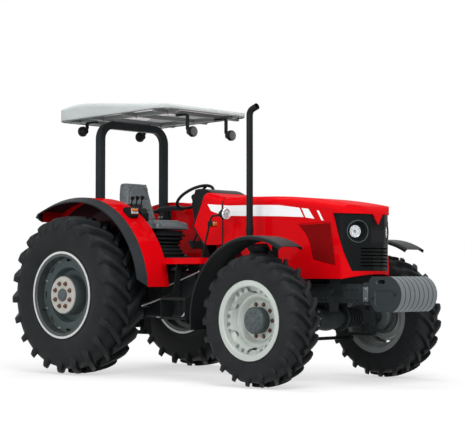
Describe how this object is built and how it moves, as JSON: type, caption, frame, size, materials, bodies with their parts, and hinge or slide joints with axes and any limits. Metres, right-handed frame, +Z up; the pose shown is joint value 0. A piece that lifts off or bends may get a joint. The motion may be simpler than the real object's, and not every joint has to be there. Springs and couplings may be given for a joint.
{
  "type": "farm tractor",
  "caption": "Open-station four-wheel-drive farm tractor with roll bar, canopy, front weights, mudguards and rear three-point hitch.",
  "frame": {"origin": "on the ground under the middle of the tractor's box", "axes": "+X forward to the front weights, +Y to the driver's left, +Z up"},
  "size_m": [4.455, 2.117, 2.6767],
  "materials": {
    "tyre_front_left": "matte rubber",
    "rim_front_left": "silver paint",
    "disc_front_left": "pale grey paint",
    "hub_front_left": "dark paint",
    "tyre_front_right": "matte rubber",
    "rim_front_right": "silver paint",
    "disc_front_right": "pale grey paint",
    "hub_front_right": "dark paint",
    "tyre_rear_left": "matte rubber",
    "rim_rear_left": "silver paint",
    "disc_rear_left": "pale grey paint",
    "hub_rear_left": "dark paint",
    "tyre_rear_right": "matte rubber",
    "rim_rear_right": "silver paint",
    "disc_rear_right": "pale grey paint",
    "hub_rear_right": "dark paint",
    "knuckle_left": "dark paint",
    "mudguard_left": "black moulded",
    "rear_fender_left": "gloss red paint",
    "knuckle_right": "dark paint",
    "mudguard_right": "black moulded",
    "rear_fender_right": "gloss red paint",
    "tie_rod": "black paint",
    "engine_block": "dark grey paint",
    "transmission_case": "dark grey paint",
    "rear_axle_housing": "dark grey paint",
    "front_axle_beam": "dark grey paint",
    "front_support": "dark grey paint",
    "front_weights": "grey paint",
    "fender_flares": "dark rubber",
    "fender_lamps": "black plastic with lens",
    "work_lamps": "black plastic with lens",
    "side_lamps": "black plastic with lens",
    "rops_frame": "black paint",
    "canopy_roof": "light grey moulding",
    "canopy_frame": "grey paint",
    "platform": "red paint",
    "steps": "black paint",
    "rear_cowl": "gloss red paint",
    "hood_shell": "gloss red paint",
    "grille": "black plastic",
    "headlamps": "clear lens over bright reflector",
    "dash_console": "black plastic",
    "steering_wheel": "black plastic over steel",
    "seat_base": "black paint",
    "seat_cushion": "grey vinyl",
    "seat_back": "grey vinyl",
    "control_levers": "black plastic",
    "exhaust_pipe": "black heat paint",
    "drawbar": "black paint",
    "lower_links": "black paint",
    "lift_rods": "black paint",
    "lift_arms": "dark paint",
    "pto_shaft": "bare steel"
  },
  "bodies": {
    "chassis": {"rear_fender_left": "rear_fender_left", "rear_fender_right": "rear_fender_right", "engine_block": "engine_block", "transmission_case": "transmission_case", "rear_axle_housing": "rear_axle_housing", "front_axle_beam": "front_axle_beam", "front_support": "front_support", "front_weights": "front_weights", "fender_flares": "fender_flares", "fender_lamps": "fender_lamps", "work_lamps": "work_lamps", "side_lamps": "side_lamps", "rops_frame": "rops_frame", "canopy_roof": "canopy_roof", "canopy_frame": "canopy_frame", "platform": "platform", "steps": "steps", "rear_cowl": "rear_cowl", "dash_console": "dash_console", "seat_base": "seat_base", "seat_cushion": "seat_cushion", "seat_back": "seat_back", "control_levers": "control_levers", "exhaust_pipe": "exhaust_pipe", "drawbar": "drawbar"},
    "hood": {"hood_shell": "hood_shell", "grille": "grille", "headlamps": "headlamps"},
    "steer_left": {"knuckle_left": "knuckle_left", "mudguard_left": "mudguard_left"},
    "steer_right": {"knuckle_right": "knuckle_right", "mudguard_right": "mudguard_right"},
    "tie_rod": {"tie_rod": "tie_rod"},
    "steering_wheel": {"steering_wheel": "steering_wheel"},
    "lift_arms": {"lift_arms": "lift_arms"},
    "lift_rods": {"lift_rods": "lift_rods"},
    "lower_links": {"lower_links": "lower_links"},
    "pto": {"pto_shaft": "pto_shaft"},
    "wheel_front_left": {"tyre_front_left": "tyre_front_left", "rim_front_left": "rim_front_left", "disc_front_left": "disc_front_left", "hub_front_left": "hub_front_left"},
    "wheel_front_right": {"tyre_front_right": "tyre_front_right", "rim_front_right": "rim_front_right", "disc_front_right": "disc_front_right", "hub_front_right": "hub_front_right"},
    "wheel_rear_left": {"tyre_rear_left": "tyre_rear_left", "rim_rear_left": "rim_rear_left", "disc_rear_left": "disc_rear_left", "hub_rear_left": "hub_rear_left"},
    "wheel_rear_right": {"tyre_rear_right": "tyre_rear_right", "rim_rear_right": "rim_rear_right", "disc_rear_right": "disc_rear_right", "hub_rear_right": "hub_rear_right"}
  },
  "joints": [
    {"name": "steer_left", "type": "hinge", "parent": "chassis", "child": "steer_left", "pos_m": [1.1975, 0.68, 0.572], "axis": [0, 0, 1], "range_deg": [-40, 40]},
    {"name": "spin_front_left", "type": "hinge", "parent": "steer_left", "child": "wheel_front_left", "pos_m": [1.1975, 0.88, 0.572], "axis": [0, 1, 0], "continuous": true},
    {"name": "spin_rear_left", "type": "hinge", "parent": "chassis", "child": "wheel_rear_left", "pos_m": [-1.2425, 0.825, 0.765], "axis": [0, 1, 0], "continuous": true},
    {"name": "steer_right", "type": "hinge", "parent": "chassis", "child": "steer_right", "pos_m": [1.1975, -0.68, 0.572], "axis": [0, 0, 1], "range_deg": [-40, 40]},
    {"name": "spin_front_right", "type": "hinge", "parent": "steer_right", "child": "wheel_front_right", "pos_m": [1.1975, -0.88, 0.572], "axis": [0, 1, 0], "continuous": true},
    {"name": "spin_rear_right", "type": "hinge", "parent": "chassis", "child": "wheel_rear_right", "pos_m": [-1.2425, -0.825, 0.765], "axis": [0, 1, 0], "continuous": true},
    {"name": "tie_rod_swing", "type": "hinge", "parent": "steer_left", "child": "tie_rod", "pos_m": [0.9475, 0.68, 0.372], "axis": [0, 0, 1], "range_deg": [-40, 40]},
    {"name": "steering_turn", "type": "hinge", "parent": "chassis", "child": "steering_wheel", "pos_m": [-0.4425, 0, 1.722], "axis": [-0.5446, 0, 0.8387], "range_deg": [-480, 480]},
    {"name": "hood_lift", "type": "hinge", "parent": "chassis", "child": "hood", "pos_m": [0.2675, 0, 1.66], "axis": [0, -1, 0], "range_deg": [0, 55]},
    {"name": "hitch_lift", "type": "hinge", "parent": "chassis", "child": "lift_arms", "pos_m": [-1.4425, 0, 1.1], "axis": [0, 1, 0], "range_deg": [-22, 28]},
    {"name": "link_lift", "type": "hinge", "parent": "chassis", "child": "lower_links", "pos_m": [-1.3425, 0, 0.45], "axis": [0, 1, 0], "range_deg": [-22, 28]},
    {"name": "rod_swing", "type": "hinge", "parent": "lift_arms", "child": "lift_rods", "pos_m": [-1.83976, 0, 1.14674], "axis": [0, 1, 0], "range_deg": [-28, 22]},
    {"name": "pto_turn", "type": "hinge", "parent": "chassis", "child": "pto", "pos_m": [-1.4925, 0, 0.62], "axis": [1, 0, 0], "continuous": true}
  ],
  "couplings": [
    {"joint": "steer_right", "follows": "steer_left", "ratio": 1},
    {"joint": "tie_rod_swing", "follows": "steer_left", "ratio": -1},
    {"joint": "steering_turn", "follows": "steer_left", "ratio": 12},
    {"joint": "link_lift", "follows": "hitch_lift", "ratio": 1},
    {"joint": "rod_swing", "follows": "hitch_lift", "ratio": -1}
  ]
}
